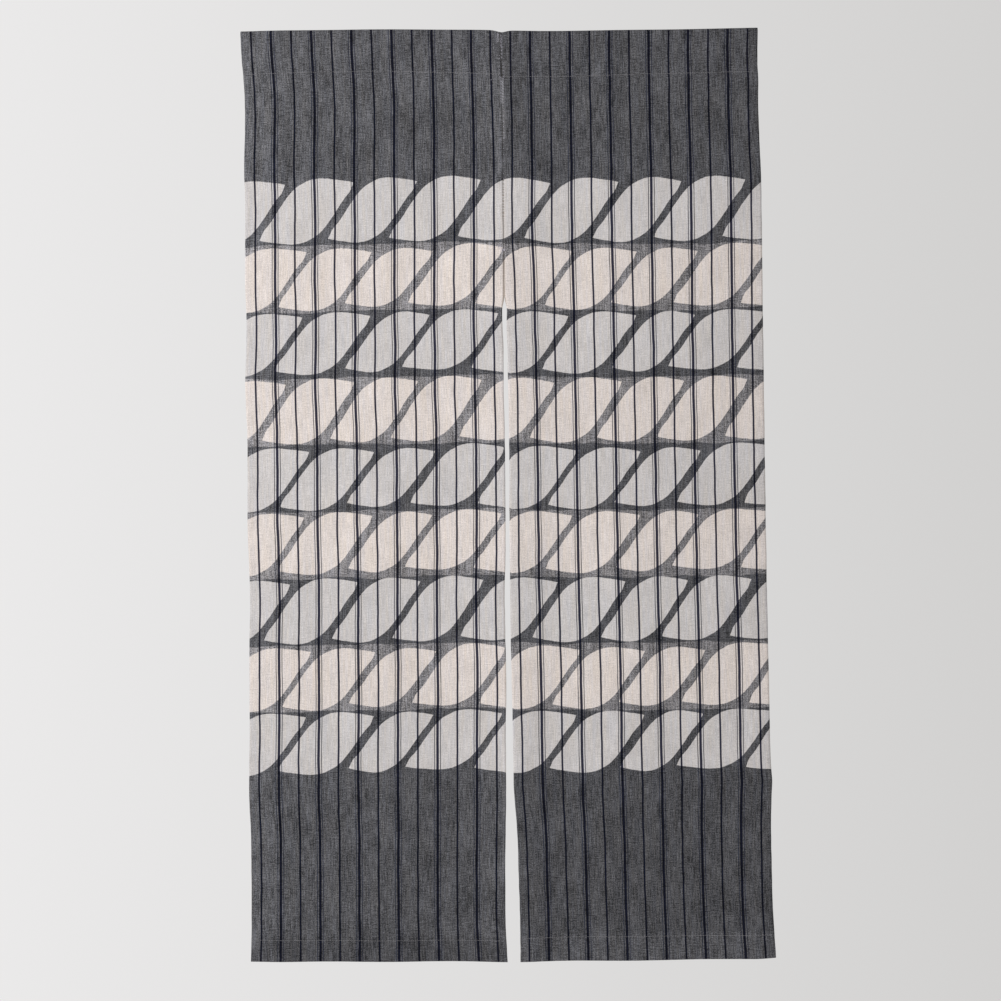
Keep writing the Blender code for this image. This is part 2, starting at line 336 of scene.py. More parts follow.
# A strand row is its left and right edge at mid-height, from where its rope's repeat starts,
# and how far it reaches above and below mid-height. A rope row is where its repeat starts
# across the cloth, how far its middle is raised, and its strands. The rows of the print take
# the three ropes in turn.
Strand = namedtuple("Strand", "left right above below")
Rope = namedtuple("Rope", "start rise strands")
ROPES = (
    Rope(
        45.0,
        0.8,
        (
            Strand(8, 102, 52.5, 52.3),
            Strand(118, 202, 52.6, 51.5),
            Strand(215, 304, 52.5, 51.0),
            Strand(324, 420, 51.0, 51.8),
        ),
    ),
    Rope(
        77.0,
        -0.3,
        (
            Strand(5, 98, 47.6, 51.6),
            Strand(112, 195, 46.8, 46.8),
            Strand(213, 307, 52.0, 47.5),
            Strand(320, 422, 50.0, 52.0),
        ),
    ),
    Rope(
        69.5,
        3.0,
        (
            Strand(6.3, 102.8, 49.0, 50.5),
            Strand(120.2, 196.8, 48.6, 48.0),
            Strand(210.2, 308.8, 49.5, 46.0),
            Strand(320.2, 420.8, 48.8, 51.5),
        ),
    ),
)
STRANDS = tuple(strand for rope in ROPES for strand in rope.strands)
STRAND_MM = REPEAT_MM / STRANDS_IN_REPEAT  # mean length of a strand, gap and all
STRAND_BODY = 0.86  # share of that length that is strand at mid-height
# The gaps between strands lean, and lean more towards the tips.
GAP_LEAN = 0.66
GAP_BEND = 8.9e-5
# A strand's upper edge from its lower-left tip to its upper-right one. The lower edge is the
# same turned half round.
Edge = namedtuple("Edge", "along height")
STRAND_EDGE = (
    Edge(-77, -49.0),
    Edge(-73, -40.0),
    Edge(-68, -29.5),
    Edge(-60, -20.0),
    Edge(-52, -9.2),
    Edge(-44, 3.0),
    Edge(-36, 14.0),
    Edge(-28, 24.5),
    Edge(-20, 33.0),
    Edge(-12, 39.2),
    Edge(-4, 43.6),
    Edge(6, 48.0),
    Edge(18, 50.2),
    Edge(30, 50.4),
    Edge(44, 48.6),
    Edge(58, 46.6),
    Edge(70, 44.4),
    Edge(77, 42.6),
)
STRAND_TOP_MM = 50.4
# The paste's edge creeps, and is a little soft; the grounds of two rows meet on a wave.
CREEP_MM = 1.4
CREEP_LENGTH_MM = 7
PASTE_SHARPNESS = 1.3
GROUND_WAVE_MM = 12.0
GROUND_WAVE_LENGTH_MM = 60
STRAND_SPREAD = 0.03  # how far the strands differ in lightness
NUMBERS_IN_ROW = 31.0  # more than a row has strands, so that each has its own number
# The cloth was not quite square when it was printed: how far aside and down the print slipped
# at millimetres across both panels, the right one starting at 415
Slip = namedtuple("Slip", "across aside down")
PRINT_SLIPS = (
    Slip(0, -1.1, 3.4),
    Slip(70, -0.5, 2.6),
    Slip(172, 0.2, 0.9),
    Slip(240, 0.7, 1.0),
    Slip(310, 1.3, -1.6),
    Slip(414, 2.1, -3.9),
    Slip(416, -2.3, -1.8),
    Slip(500, -1.7, -0.2),
    Slip(640, -0.9, 0.5),
    Slip(830, 0.3, -0.5),
)
# Beside the seam the head of the left panel is eased: how far to the left its bars are there
Ease = namedtuple("Ease", "across aside")
SEAM_EASE = (Ease(0, 0.0), Ease(330, 0.0), Ease(368, 1.0), Ease(398, 2.7), Ease(413, 0.0), Ease(830, 0.0))
# Along the seam and the slit, at millimetres down: how far right of the seam a paler band lies, which is
# partly pale thread and selvedge and partly painted light, how strong it is, and how strong the painted
# shade of the dark line and needle holes is
Seam = namedtuple("Seam", "down value")
BAND_AT = (Seam(0, 0.2), Seam(118, 0.2), Seam(126, 1.6), Seam(178, 1.6), Seam(182, -7.0),
           Seam(236, -7.0), Seam(240, -2.6), Seam(1500, -2.6))
BAND_SHARE = (Seam(0, 0.0), Seam(76, 0.0), Seam(80, 1.15), Seam(114, 1.05), Seam(124, 0.45),
              Seam(232, 0.45), Seam(242, 0.12), Seam(1150, 0.12), Seam(1200, 0.50), Seam(1300, 0.45),
              Seam(1370, 0.12), Seam(1500, 0.10))
GAP_SHADE_SHARE = (Seam(0, 0.0), Seam(30, 0.0), Seam(36, 0.2), Seam(74, 0.2), Seam(78, 0.0),
              Seam(150, 0.0), Seam(160, 0.15), Seam(300, 0.15), Seam(315, 0.3), Seam(360, 0.3),
              Seam(376, 0.6), Seam(442, 0.6), Seam(450, 0.0), Seam(1500, 0.0))
HOLE_SHADE_SHARE = (Seam(0, 0.0), Seam(32, 0.0), Seam(36, 0.6), Seam(74, 0.6), Seam(78, 0.0),
               Seam(235, 0.0), Seam(245, 0.6), Seam(306, 0.6), Seam(312, 0.0), Seam(1500, 0.0))
# How far the cloth of the right panel lies to the right of an even hang, at millimetres down
RIGHT_DRIFT = (
    Seam(0, 0.0),
    Seam(330, -0.2),
    Seam(420, -1.2),
    Seam(600, -1.5),
    Seam(700, -1.0),
    Seam(800, 0.0),
    Seam(890, 0.5),
    Seam(970, 1.6),
    Seam(1180, 1.0),
    Seam(1260, 0.2),
    Seam(1500, 0.0),
)
DRIFT_FROM_MM = 20.0  # from the slit to where the drift begins to be felt
DRIFT_WHOLE_MM = 75.0  # and to where it is whole
EASE_WHOLE_MM = 115.0  # down to here the head is eased wholly
EASE_GONE_MM = 210.0  # and here no more
# The band's half width, soft edge and strength, those of the painted dark line, and the step of the
# needle holes' painted shade, with how far and over what length it strays
BAND_HALF_MM = 3.0
BAND_EDGE_MM = 1.6
BAND_STRENGTH = 3.0
LINE_HALF_MM = 1.5
LINE_EDGE_MM = 0.8
HOLE_STEP_MM = 4.6
HOLE_STRAY_MM = 6.0
HOLE_STRAY_LENGTH_MM = 9
# Painted light and shade, as lightness at millimetres across both panels: of the whole cloth, of the
# doubled hem's ground against the ground above it, and of the ground round the strands
Tone = namedtuple("Tone", "across lightness")
CLOTH_PAINTED_LIGHT = (
    Tone(0, 0.95),
    Tone(45, 0.99),
    Tone(200, 0.99),
    Tone(300, 1.01),
    Tone(600, 1.00),
    Tone(700, 0.98),
    Tone(790, 0.93),
    Tone(830, 0.92),
)
HEM_PAINTED_LIGHT = (Tone(0, 0.86), Tone(412, 0.86), Tone(418, 1.18), Tone(830, 1.18))
GROUND_PAINTED_LIGHT = (
    Tone(0, 1.38),
    Tone(60, 1.14),
    Tone(200, 1.08),
    Tone(340, 1.05),
    Tone(412, 1.14),
    Tone(418, 1.00),
    Tone(520, 0.96),
    Tone(830, 0.96),
)
# Painted light falling off down the cloth, from the head to the foot
GROUND_PAINTED_FALLOFF = (1.09, 0.95)  # the ground's lightness at the head and at the foot
HEM_TURN_MM = (40.0, 34.0)  # above the foot, between these, the cloth turns into the hem

# A yarn row is one kind of unevenness: its size across and down the cloth, how fine its detail
# is, and how strongly it shows. They are streaks, slubs, specks and clouds.
Yarn = namedtuple("Yarn", "across down detail strength")
YARNS = (
    Yarn(1.5, 26, 2.0, 9.0),
    Yarn(13, 1.3, 2.0, 7.0),
    Yarn(1.5, 2.0, 3.0, 13.0),
    Yarn(28, 60, 2.0, 4.0),
)
PRINT_CONTRAST = -0.235  # the paste hides most of the yarns' unevenness
GROUND_CONTRAST = 0.30
BACK_CONTRAST = 0.12
DARKEST_YARN = 0.35
WEAVE_PITCH_MM = 1.1
SLUB_HEIGHT = 0.25
BAR_SHARE = 0.96  # how much of the ground the bars hide, on the front and on the back
BACK_BAR_SHARE = 0.92
BACK_FLANK_SHARE = 0.6
SHOW_THROUGH = 0.35  # how much of the print shows on the back
HUE_MM = (4, 90)  # size of a warm or a cool patch, across and down
NO_SHADE = (1.0, 1.0, 1.0, 1.0)
# The colour of the painted shade in the seam's dark line and needle holes
SEAM_SHADE = (0.42, 0.36, 0.29, 1.0)
COOL_WARP = (0.985, 1.0, 1.03, 1.0)
WARM_WARP = (1.015, 1.0, 0.97, 1.0)
MIXED = {"out": 2, "data_type": "RGBA"}  # what a Mix node needs to mix colours


def linear(hex_colour):
    """Linear RGBA of an sRGB hex value."""
    channels = [int(hex_colour[i : i + 2], 16) / 255 for i in (0, 2, 4)]
    return (*(c / 12.92 if c <= 0.04045 else ((c + 0.055) / 1.055) ** 2.4 for c in channels), 1.0)


def cloth_colour(name, description, hex_colour):
    return FloatVectorProperty(
        name=name,
        description=description,
        default=linear(hex_colour),
        size=4,
        min=0.0,
        max=1.0,
        subtype="COLOR",
    )


def cloth_length(name, description, metres):
    return FloatProperty(name=name, description=description, default=metres, unit="LENGTH")


class NorenSizes(bpy.types.PropertyGroup):
    """Sizes of the cloth and its sewing."""

    drop: cloth_length("Drop", "Top fold to foot fold", DROP)
    cloth: cloth_length("Cloth", "Thickness of the cotton", 0.0006)
    layer_step: cloth_length(
        "Layer step", "Middle of one layer to middle of the next where they are sewn flat", 0.0011
    )
    rod_room: cloth_length("Rod room", "Clear width of the pocket", 0.0126)
    pocket_stitch: cloth_length(
        "Pocket stitch", "Stitch line of the rod pocket, below the top edge", 0.070
    )
    pocket_turning: cloth_length(
        "Pocket turning", "Cloth that runs on below the pocket's stitch line", 0.005
    )
    hem_stitch: cloth_length("Hem stitch", "Stitch line of the hem, above the foot edge", 0.036)
    hem_turning: cloth_length("Hem turning", "Cloth that runs on above the hem's stitch line", 0.004)
    thread: cloth_length("Thread", "Thickness of the sewing thread", 0.00045)
    stitch: cloth_length("Stitch", "Length of one machine stitch", 0.0029)
    columns: IntProperty(name="Columns", description="Faces across one panel", default=120)
    drop_rows: IntProperty(name="Rows", description="Faces down the open drop", default=290)


class NorenColours(bpy.types.PropertyGroup):
    """Colours of the yarns, the print and the thread."""

    dark_ground: cloth_colour("Dark ground", "Charcoal round the grey strands", "505053")
    mid_ground: cloth_colour("Mid ground", "Ash grey round the cream strands", "7a787a")
    grey_strand: cloth_colour("Grey strand", "Pale grey strands of the odd rows", "c3bfbe")
    cream_strand: cloth_colour("Cream strand", "Cream strands of the even rows", "d4cbc6")
    navy_bar: cloth_colour("Navy bar", "Navy warp stripes", "090c1b")
    pasted_bar: cloth_colour("Pasted bar", "Thick bars where the paste covers them", "0a0e2a")
    blue_flank: cloth_colour("Blue flank", "Dark blue threads beside each thick bar", "282b38")
    back_ground: cloth_colour("Back ground", "Unprinted back of the cloth", "a09c9a")
    seam_thread: cloth_colour("Seam thread", "Thread of the middle seam", "bcb8c4")
    machine_thread: cloth_colour("Machine thread", "Thread of the pocket and the hem", "8a888b")


def along(rows, at):
    """Height of the smooth curve through a table's rows at a place on its first column."""
    places = [row[0] for row in rows]
    heights = [row[1] for row in rows]
    slopes = []
    for index in range(len(rows)):
        before = max(index - 1, 0)
        after = min(index + 1, len(rows) - 1)
        slopes.append((heights[after] - heights[before]) / (places[after] - places[before]))
    at = min(max(at, places[0]), places[-1])
    step = next(i for i in range(len(rows) - 1) if at <= places[i + 1])
    span = places[step + 1] - places[step]
    t = (at - places[step]) / span
    return (
        heights[step] * (1 + 2 * t) * (1 - t) ** 2
        + slopes[step] * span * t * (1 - t) ** 2
        + heights[step + 1] * t * t * (3 - 2 * t)
        - slopes[step + 1] * span * t * t * (1 - t)
    )


def blend(low, high, t):
    return low + (high - low) * t


def section(sizes):
    """One panel's cut from head to foot, as (drop, set back) of the middle of the sheet."""
    pocket_rows, arc_rows, hem_rows, fold_rows = 14, 12, 7, 6
    radius = (sizes.rod_room + sizes.cloth) / 2
    rod_drop = radius + sizes.cloth / 2
    step = sizes.layer_step
    stations = [(sizes.pocket_stitch + sizes.pocket_turning, step)]
    for row in range(pocket_rows):
        t = row / pocket_rows
        stations.append((blend(sizes.pocket_stitch, rod_drop, t), blend(step, radius, t)))
    for row in range(arc_rows + 1):
        turn = math.pi * row / arc_rows
        stations.append((rod_drop - radius * math.sin(turn), radius * math.cos(turn)))
    for row in range(1, pocket_rows + 1):
        t = row / pocket_rows
        stations.append((blend(rod_drop, sizes.pocket_stitch, t), blend(-radius, 0.0, t)))
    fold_radius = step / 2
    fold_drop = sizes.drop - sizes.cloth / 2 - fold_radius
    hem_drop = sizes.drop - sizes.hem_stitch
    for row in range(1, sizes.drop_rows + 1):
        t = row / sizes.drop_rows
        stations.append((blend(sizes.pocket_stitch, hem_drop, t), 0.0))
    for row in range(1, hem_rows):
        stations.append((blend(hem_drop, fold_drop, row / hem_rows), 0.0))
    for row in range(fold_rows + 1):
        turn = math.pi * row / fold_rows
        set_back = fold_radius * (1 - math.cos(turn))
        stations.append((fold_drop + fold_radius * math.sin(turn), set_back))
    for row in range(1, hem_rows + 1):
        stations.append((blend(fold_drop, hem_drop, row / hem_rows), step))
    stations.append((hem_drop - sizes.hem_turning, step))
    return stations


def front_set_back(sizes, drop):
    """Where the front layer's middle lies at a drop: the rod pocket stands forward."""
    radius = (sizes.rod_room + sizes.cloth) / 2
    rod_drop = radius + sizes.cloth / 2
    if drop < rod_drop:
        return -math.sqrt(max(radius**2 - (rod_drop - drop) ** 2, 0.0))
    t = min((drop - rod_drop) / (sizes.pocket_stitch - rod_drop), 1.0)
    return blend(-radius, 0.0, t)


class Hanging:
    """The shape in which one panel hangs."""

    def __init__(self, sizes, edges, body, seam_at, ends, lines, folds, seed, first_u):
        self.sizes = sizes
        self.seam_at = seam_at
        self.left, self.right = edges
        self.body = body
        self.head, self.foot = ends
        self.pocket_line, self.hem_line = lines
        self.folds = folds
        self.seed = seed
        self.first_u = first_u

    def place(self, across, drop, set_back):
        """Point of the sheet at a share of its width, a drop, and a distance behind the front."""
        sizes = self.sizes
        hem_drop = sizes.drop - sizes.hem_stitch
        near_pocket = math.exp(-(((drop - sizes.pocket_stitch) / POCKET_REACH) ** 2))
        near_hem = math.exp(-(((drop - hem_drop) / HEM_REACH) ** 2))
        drop += near_pocket * along(self.pocket_line, across)
        drop += near_hem * along(self.hem_line, across)
        left = along(self.left, drop) + self.waver(drop, 0)
        right = along(self.right, drop) + self.waver(drop, 1)
        x = blend(left, right, across)
        from_seam = abs(across - self.seam_at) * (right - left)
        inset = min(from_seam / BODY_INSET, 1.0)
        x += along(self.body, drop) * inset * (1 - from_seam / (right - left))
        share = drop / sizes.drop
        y = set_back - self.ridge(x - left, right - left, share)
        y -= self.crumple(x, drop, near_pocket, near_hem)
        z = blend(along(self.head, across), along(self.foot, across), share) - drop
        z -= self.notch(from_seam, drop)
        return x, y, z

    def notch(self, from_seam, drop):
        """How far the seam pulls the cloth down at a distance from it."""
        return NOTCH_DEPTH * math.exp(-((from_seam / NOTCH_REACH) ** 2) - (drop / NOTCH_FADE) ** 2)

    def waver(self, drop, side):
        """The small in-and-out wander of the selvedge at side 0 or 1, none where it is sewn."""
        slow = noise.noise(Vector((drop / SLOW_WAVER, 9.0 * side, self.seed)))
        quick = noise.noise(Vector((drop / QUICK_WAVER, 9.0 * side + 3.0, self.seed)))
        wander = SLOW_WAVER_REACH * slow + QUICK_WAVER_REACH * quick
        if side != self.seam_at:
            return wander
        return wander * min(max((drop - SEAM_DROP) / WAVER_GROWTH, 0.0), 1.0)

    def ridge(self, inside, width, share):
        """How far the folds bring the cloth forward."""
        total = 0.0
        for fold in self.folds:
            centre = width * blend(fold.across_head, fold.across_foot, share)
            depth = blend(fold.depth_head, fold.depth_foot, share)
            total += depth * math.exp(-(((inside - centre) / fold.width) ** 2))
        return total

    def crumple(self, x, drop, near_pocket, near_hem):
        """Soft unevenness of hung cotton, with short puckers at the stitch lines."""
        slow = self.rippled(SLOW_CRUMPLE, x, drop, 0.0)
        quick = self.rippled(QUICK_CRUMPLE, x, drop, 5.0)
        pucker = self.rippled(PUCKER, x, drop, 9.0)
        settle = min(drop / HEAD_SETTLE, 1.0)
        return settle * (slow + quick) + pucker * max(near_pocket, near_hem)

    def rippled(self, ripple, x, drop, further):
        """How far one ripple moves the cloth, from the panel's own seed and further on."""
        place = (x / ripple.across, drop / ripple.down, self.seed + further)
        return ripple.depth * noise.noise(Vector(place))


def hangings(sizes):
    """The left and the right panel."""
    half_gap = SEAM_GAP / 2
    slit_left = tuple(Selvedge(row.drop, row.x - half_gap) for row in SLIT_LEFT)
    slit_right = tuple(Selvedge(row.drop, row.x + half_gap) for row in SLIT_RIGHT)
    left = Hanging(
        sizes,
        (OUTER_LEFT, slit_left),
        LEFT_BODY,
        1,
        (LEFT_HEAD, LEFT_FOOT),
        (LEFT_POCKET_LINE, LEFT_HEM_LINE),
        LEFT_FOLDS,
        1.7,
        0.0,
    )
    right = Hanging(
        sizes,
        (slit_right, OUTER_RIGHT),
        RIGHT_BODY,
        0,
        (RIGHT_HEAD, RIGHT_FOOT),
        (RIGHT_POCKET_LINE, RIGHT_HEM_LINE),
        RIGHT_FOLDS,
        4.2,
        PANEL_WIDTH,
    )
    return left, right


def add(tree, kind, inputs=(), out=0, **settings):
    """Adds a node with its settings, links or sets its inputs, and gives one of its outputs."""
    node = tree.nodes.new("ShaderNode" + kind)
    for name, value in settings.items():
        setattr(node, name, value)
    pairs = inputs.items() if isinstance(inputs, dict) else enumerate(inputs)
    for key, value in pairs:
        if isinstance(value, bpy.types.NodeSocket):
            tree.links.new(value, node.inputs[key])
        else:
            node.inputs[key].default_value = value
    return node.outputs[out]


def new_material(name):
    """A material with only its output and shader, and its tree."""
    material = bpy.data.materials.new(name)
    material.use_nodes = True
    return material, material.node_tree, material.node_tree.nodes["Principled BSDF"]


def cloth_places(tree):
    """Millimetres across the cloth and down it, from the piece's own UV map."""
    place = add(tree, "UVMap", uv_map="Cloth")
    split = add(tree, "SeparateXYZ", [place]).node
    across = add(tree, "Math", [split.outputs["X"], 1000.0], operation="MULTIPLY")
    down = add(tree, "Math", [split.outputs["Y"], 1000.0], operation="MULTIPLY")
    return across, down


def soft_band(tree, distance, half, edge):
    """1 where a distance is under half, falling to 0 over an edge of that many millimetres."""
    short = add(tree, "Math", [half, distance], operation="SUBTRACT")
    share = add(tree, "Math", [short, edge], operation="DIVIDE")
    return add(tree, "Math", [share, 0.5], operation="ADD", use_clamp=True)


def drifted(tree, across, down):
    """Millimetres across, moved by the right panel's drift, which is none at the slit."""
    drift = charted(tree, down, RIGHT_DRIFT, "VECTOR")
    edges = (PANEL_WIDTH_MM + DRIFT_FROM_MM, PANEL_WIDTH_MM + DRIFT_WHOLE_MM, 0.0, 1.0)
    felt = add(tree, "MapRange", [across, *edges])
    moved = add(tree, "Math", [drift, felt], operation="MULTIPLY")
    return add(tree, "Math", [across, moved], operation="SUBTRACT")


def woven_stripes(tree, across, down):
    """Masks of the navy bars, and of the fine blue threads beside each thick bar."""
    across = drifted(tree, across, down)
    inside = add(tree, "Math", [across, PANEL_WIDTH_MM], operation="FLOORED_MODULO")
    on_right = add(tree, "Math", [across, PANEL_WIDTH_MM], operation="GREATER_THAN")
    eased = charted(tree, across, SEAM_EASE, "VECTOR")
    at_head = add(tree, "MapRange", [down, EASE_WHOLE_MM, EASE_GONE_MM, 1.0, 0.0])
    inside = add(tree, "Math", [eased, at_head, inside], operation="MULTIPLY_ADD")
    from_first = add(tree, "Math", [on_right, STRIPE_STEP_MM, inside], operation="MULTIPLY_ADD")
    from_first = add(tree, "Math", [from_first, FIRST_STRIPE_MM], operation="SUBTRACT")
    count = add(tree, "Math", [from_first, STRIPE_PITCH_MM], operation="DIVIDE")
    number = add(tree, "Math", [count], operation="ROUND")
    thick = add(tree, "Math", [number, 2.0], operation="FLOORED_MODULO")
    # Hand-hung stripes are never ruled straight: each wanders by a few tenths of a millimetre.
    lane = add(tree, "Math", [number, LANE_STEP], operation="MULTIPLY")
    slow = add(tree, "Math", [down, 1 / BAR_WANDER_LENGTH_MM], operation="MULTIPLY")
    where = add(tree, "CombineXYZ", [lane, slow, 0.0])
    wander = add(tree, "TexNoise", {"Vector": where, "Scale": 1.0, "Detail": 2.0})
    wander = add(tree, "Math", [wander, 0.5], operation="SUBTRACT")
    wander = add(tree, "Math", [wander, BAR_WANDER_MM], operation="MULTIPLY")
    beside = add(tree, "Math", [count, number], operation="SUBTRACT")
    beside = add(tree, "Math", [beside, STRIPE_PITCH_MM, wander], operation="MULTIPLY_ADD")
    distance = add(tree, "Math", [beside], operation="ABSOLUTE")
    half = add(
        tree,
        "Math",
        [thick, (THICK_BAR_MM - THIN_BAR_MM) / 2, THIN_BAR_MM / 2],
        operation="MULTIPLY_ADD",
    )
    bar = soft_band(tree, distance, half, BAR_EDGE_MM)
    flank = add(tree, "Math", [distance, FLANK_OUT_MM], operation="SUBTRACT")
    flank = add(tree, "Math", [flank], operation="ABSOLUTE")
    flank = soft_band(tree, flank, FLANK_MM / 2, FLANK_EDGE_MM)
    flank = add(tree, "Math", [flank, thick], operation="MULTIPLY")
    return bar, add(tree, "Math", [flank, FLANK_SHARE], operation="MULTIPLY")


def charted(tree, value, points, handles="AUTO"):
    """Height of the curve through a chart's points at a value, in the points' own units."""
    places = [float(point[0]) for point in points]
    heights = [float(point[1]) for point in points]
    span = places[-1] - places[0]
    low, high = min(heights), max(heights)
    shares = [((p - places[0]) / span, (h - low) / (high - low)) for p, h in zip(places, heights)]
    where = add(tree, "Math", [value, 1 / span, -places[0] / span], operation="MULTIPLY_ADD")
    curve = add(tree, "FloatCurve", {"Value": where})
    mapping = curve.node.mapping
    knots = mapping.curves[0].points
    knots[0].location, knots[1].location = shares[0], shares[-1]
    for share in shares[1:-1]:
        knots.new(*share)
    for knot in knots:
        knot.handle_type = handles
    mapping.update()
    return add(tree, "Math", [curve, high - low, low], operation="MULTIPLY_ADD")


def look_up(tree, number, values):
    """The value that stands at a whole number in a list."""
    return charted(tree, number, list(enumerate(values)), "VECTOR")


def strand_count(tree, row_kind, share):
    """Counts on through the strands of all the ropes: whole numbers in the middle of gaps."""
    place = add(tree, "Math", [row_kind, share], operation="ADD")
    place = add(tree, "Math", [place, REPEAT_MM], operation="MULTIPLY")
    side = (1 - STRAND_BODY) / 2
    points = [(0.0, 0.0)]
    for number, strand in enumerate(STRANDS):
        first = REPEAT_MM * (number // STRANDS_IN_REPEAT)
        points.append((first + strand.left, number + side))
        points.append((first + strand.right, number + 1 - side))
    points.append((REPEAT_MM * len(ROPES), float(len(STRANDS))))
    return charted(tree, place, points, "VECTOR")


def rope_print(tree, across, down):
    """The strands' mask, the pale ground's, the pale rows', and each strand's own number."""
    aside = charted(tree, across, [(slip.across, slip.aside) for slip in PRINT_SLIPS], "VECTOR")
    slipped = charted(tree, across, [(slip.across, slip.down) for slip in PRINT_SLIPS], "VECTOR")
    across = add(tree, "Math", [across, aside], operation="SUBTRACT")
    lean = add(tree, "Math", [down, DROP_MM / 2], operation="SUBTRACT")
    across = add(tree, "Math", [lean, -PRINT_LEAN, across], operation="MULTIPLY_ADD")
    across = drifted(tree, across, down)
    down = add(tree, "Math", [down, slipped], operation="SUBTRACT")
    below = add(tree, "Math", [down, PRINT_TOP_MM], operation="SUBTRACT")
    rows = add(tree, "Math", [below, ROW_MM], operation="DIVIDE")
    row = add(tree, "Math", [rows], operation="FLOOR")
    kind = add(tree, "Math", [row, float(len(ROPES))], operation="FLOORED_MODULO")
    rise = add(tree, "Math", [row, rows], operation="SUBTRACT")
    rise = add(tree, "Math", [rise, ROW_MM, ROW_MM / 2], operation="MULTIPLY_ADD")
    raised = look_up(tree, kind, [rope.rise for rope in ROPES])
    rise = add(tree, "Math", [rise, raised], operation="SUBTRACT")
    lean = add(tree, "Math", [rise, rise], operation="MULTIPLY")
    lean = add(tree, "Math", [lean, GAP_BEND, GAP_LEAN], operation="MULTIPLY_ADD")
    lean = add(tree, "Math", [lean, rise], operation="MULTIPLY")
    start = look_up(tree, kind, [rope.start for rope in ROPES])
    upright = add(tree, "Math", [across, start], operation="SUBTRACT")
    upright = add(tree, "Math", [upright, lean], operation="SUBTRACT")
    repeats = add(tree, "Math", [upright, REPEAT_MM], operation="DIVIDE")
    share = add(tree, "Math", [repeats], operation="FRACT")
    strands = strand_count(tree, kind, share)
    number = add(tree, "Math", [strands], operation="FLOOR")
    middle = add(tree, "Math", [number, 0.5], operation="ADD")
    along_strand = add(tree, "Math", [strands, middle], operation="SUBTRACT")
    along_strand = add(tree, "Math", [along_strand, STRAND_MM, lean], operation="MULTIPLY_ADD")
    # Each strand has its own height above and below its middle.
    above = look_up(tree, number, [strand.above for strand in STRANDS])
    under = look_up(tree, number, [strand.below for strand in STRANDS])
    upper_half = add(tree, "Math", [rise, 0.0], operation="GREATER_THAN")
    taller = add(tree, "Math", [above, under], operation="SUBTRACT")
    reach = add(tree, "Math", [upper_half, taller, under], operation="MULTIPLY_ADD")
    height = add(tree, "Math", [rise, reach], operation="DIVIDE")
    height = add(tree, "Math", [height, STRAND_TOP_MM], operation="MULTIPLY")
    backwards = add(tree, "Math", [along_strand, -1.0], operation="MULTIPLY")
    upper = add(
        tree, "Math", [charted(tree, along_strand, STRAND_EDGE), height], operation="SUBTRACT"
    )
    lower = add(tree, "Math", [charted(tree, backwards, STRAND_EDGE), height], operation="ADD")
    inside = add(tree, "Math", [upper, lower], operation="MINIMUM")
    # The paste's edge creeps a little along the threads.
    where = add(tree, "CombineXYZ", [across, down, 0.0])
    creep = add(tree, "TexNoise", {"Vector": where, "Scale": 1 / CREEP_LENGTH_MM, "Detail": 3.0})
    creep = add(tree, "Math", [creep, CREEP_MM, -CREEP_MM / 2], operation="MULTIPLY_ADD")
    inside = add(tree, "Math", [inside, creep], operation="ADD")
    sharp = [inside, PASTE_SHARPNESS, 0.5]
    strand = add(tree, "Math", sharp, operation="MULTIPLY_ADD", use_clamp=True)
    from_top = add(tree, "Math", [row, -0.5], operation="GREATER_THAN")
    to_foot = add(tree, "Math", [row, PRINT_ROWS - 0.5], operation="LESS_THAN")
    printed = add(tree, "Math", [from_top, to_foot], operation="MULTIPLY")
    strand = add(tree, "Math", [strand, printed], operation="MULTIPLY")
    # The grounds of two rows meet on a wavy line.
    slow = add(tree, "TexNoise", {"Vector": where, "Scale": 1 / GROUND_WAVE_LENGTH_MM, "Detail": 2.0})
    wave = GROUND_WAVE_MM / ROW_MM
    slow = add(tree, "Math", [slow, wave, -wave / 2], operation="MULTIPLY_ADD")
    wavy = add(tree, "Math", [slow, rows], operation="ADD")
    wavy = add(tree, "Math", [wavy], operation="FLOOR")
    pale_ground = add(tree, "Math", [wavy, 2.0], operation="FLOORED_MODULO")
    below_head = add(tree, "Math", [wavy, 0.5], operation="GREATER_THAN")
    above_foot = add(tree, "Math", [wavy, PRINT_ROWS - 0.5], operation="LESS_THAN")
    pale_ground = add(tree, "Math", [pale_ground, below_head], operation="MULTIPLY")
    pale_ground = add(tree, "Math", [pale_ground, above_foot], operation="MULTIPLY")
    pale_row = add(tree, "Math", [row, 2.0], operation="FLOORED_MODULO")
    whole = add(tree, "Math", [repeats], operation="FLOOR")
    name = add(tree, "Math", [whole, float(STRANDS_IN_REPEAT), number], operation="MULTIPLY_ADD")
    name = add(tree, "Math", [row, NUMBERS_IN_ROW, name], operation="MULTIPLY_ADD")
    own = add(tree, "TexWhiteNoise", {"W": name}, noise_dimensions="1D")
    return strand, pale_ground, pale_row, own


def woven_light(tree, across, down):
    """Unevenness of the yarns, about 0: streaks down the warp, slubs along the weft, specks.

    The real threads lie half a millimetre apart, too fine for the render, so these are
    drawn two to four times as coarse.
    """
    place = add(tree, "CombineXYZ", [across, down, 0.0])
    light = -0.5 * sum(yarn.strength for yarn in YARNS)
    for yarn in YARNS:
        size = (1 / yarn.across, 1 / yarn.down, 1.0)
        where = add(tree, "VectorMath", [place, size], operation="MULTIPLY")
        uneven = add(tree, "TexNoise", {"Vector": where, "Scale": 1.0, "Detail": yarn.detail})
        light = add(tree, "Math", [uneven, yarn.strength, light], operation="MULTIPLY_ADD")
    return light


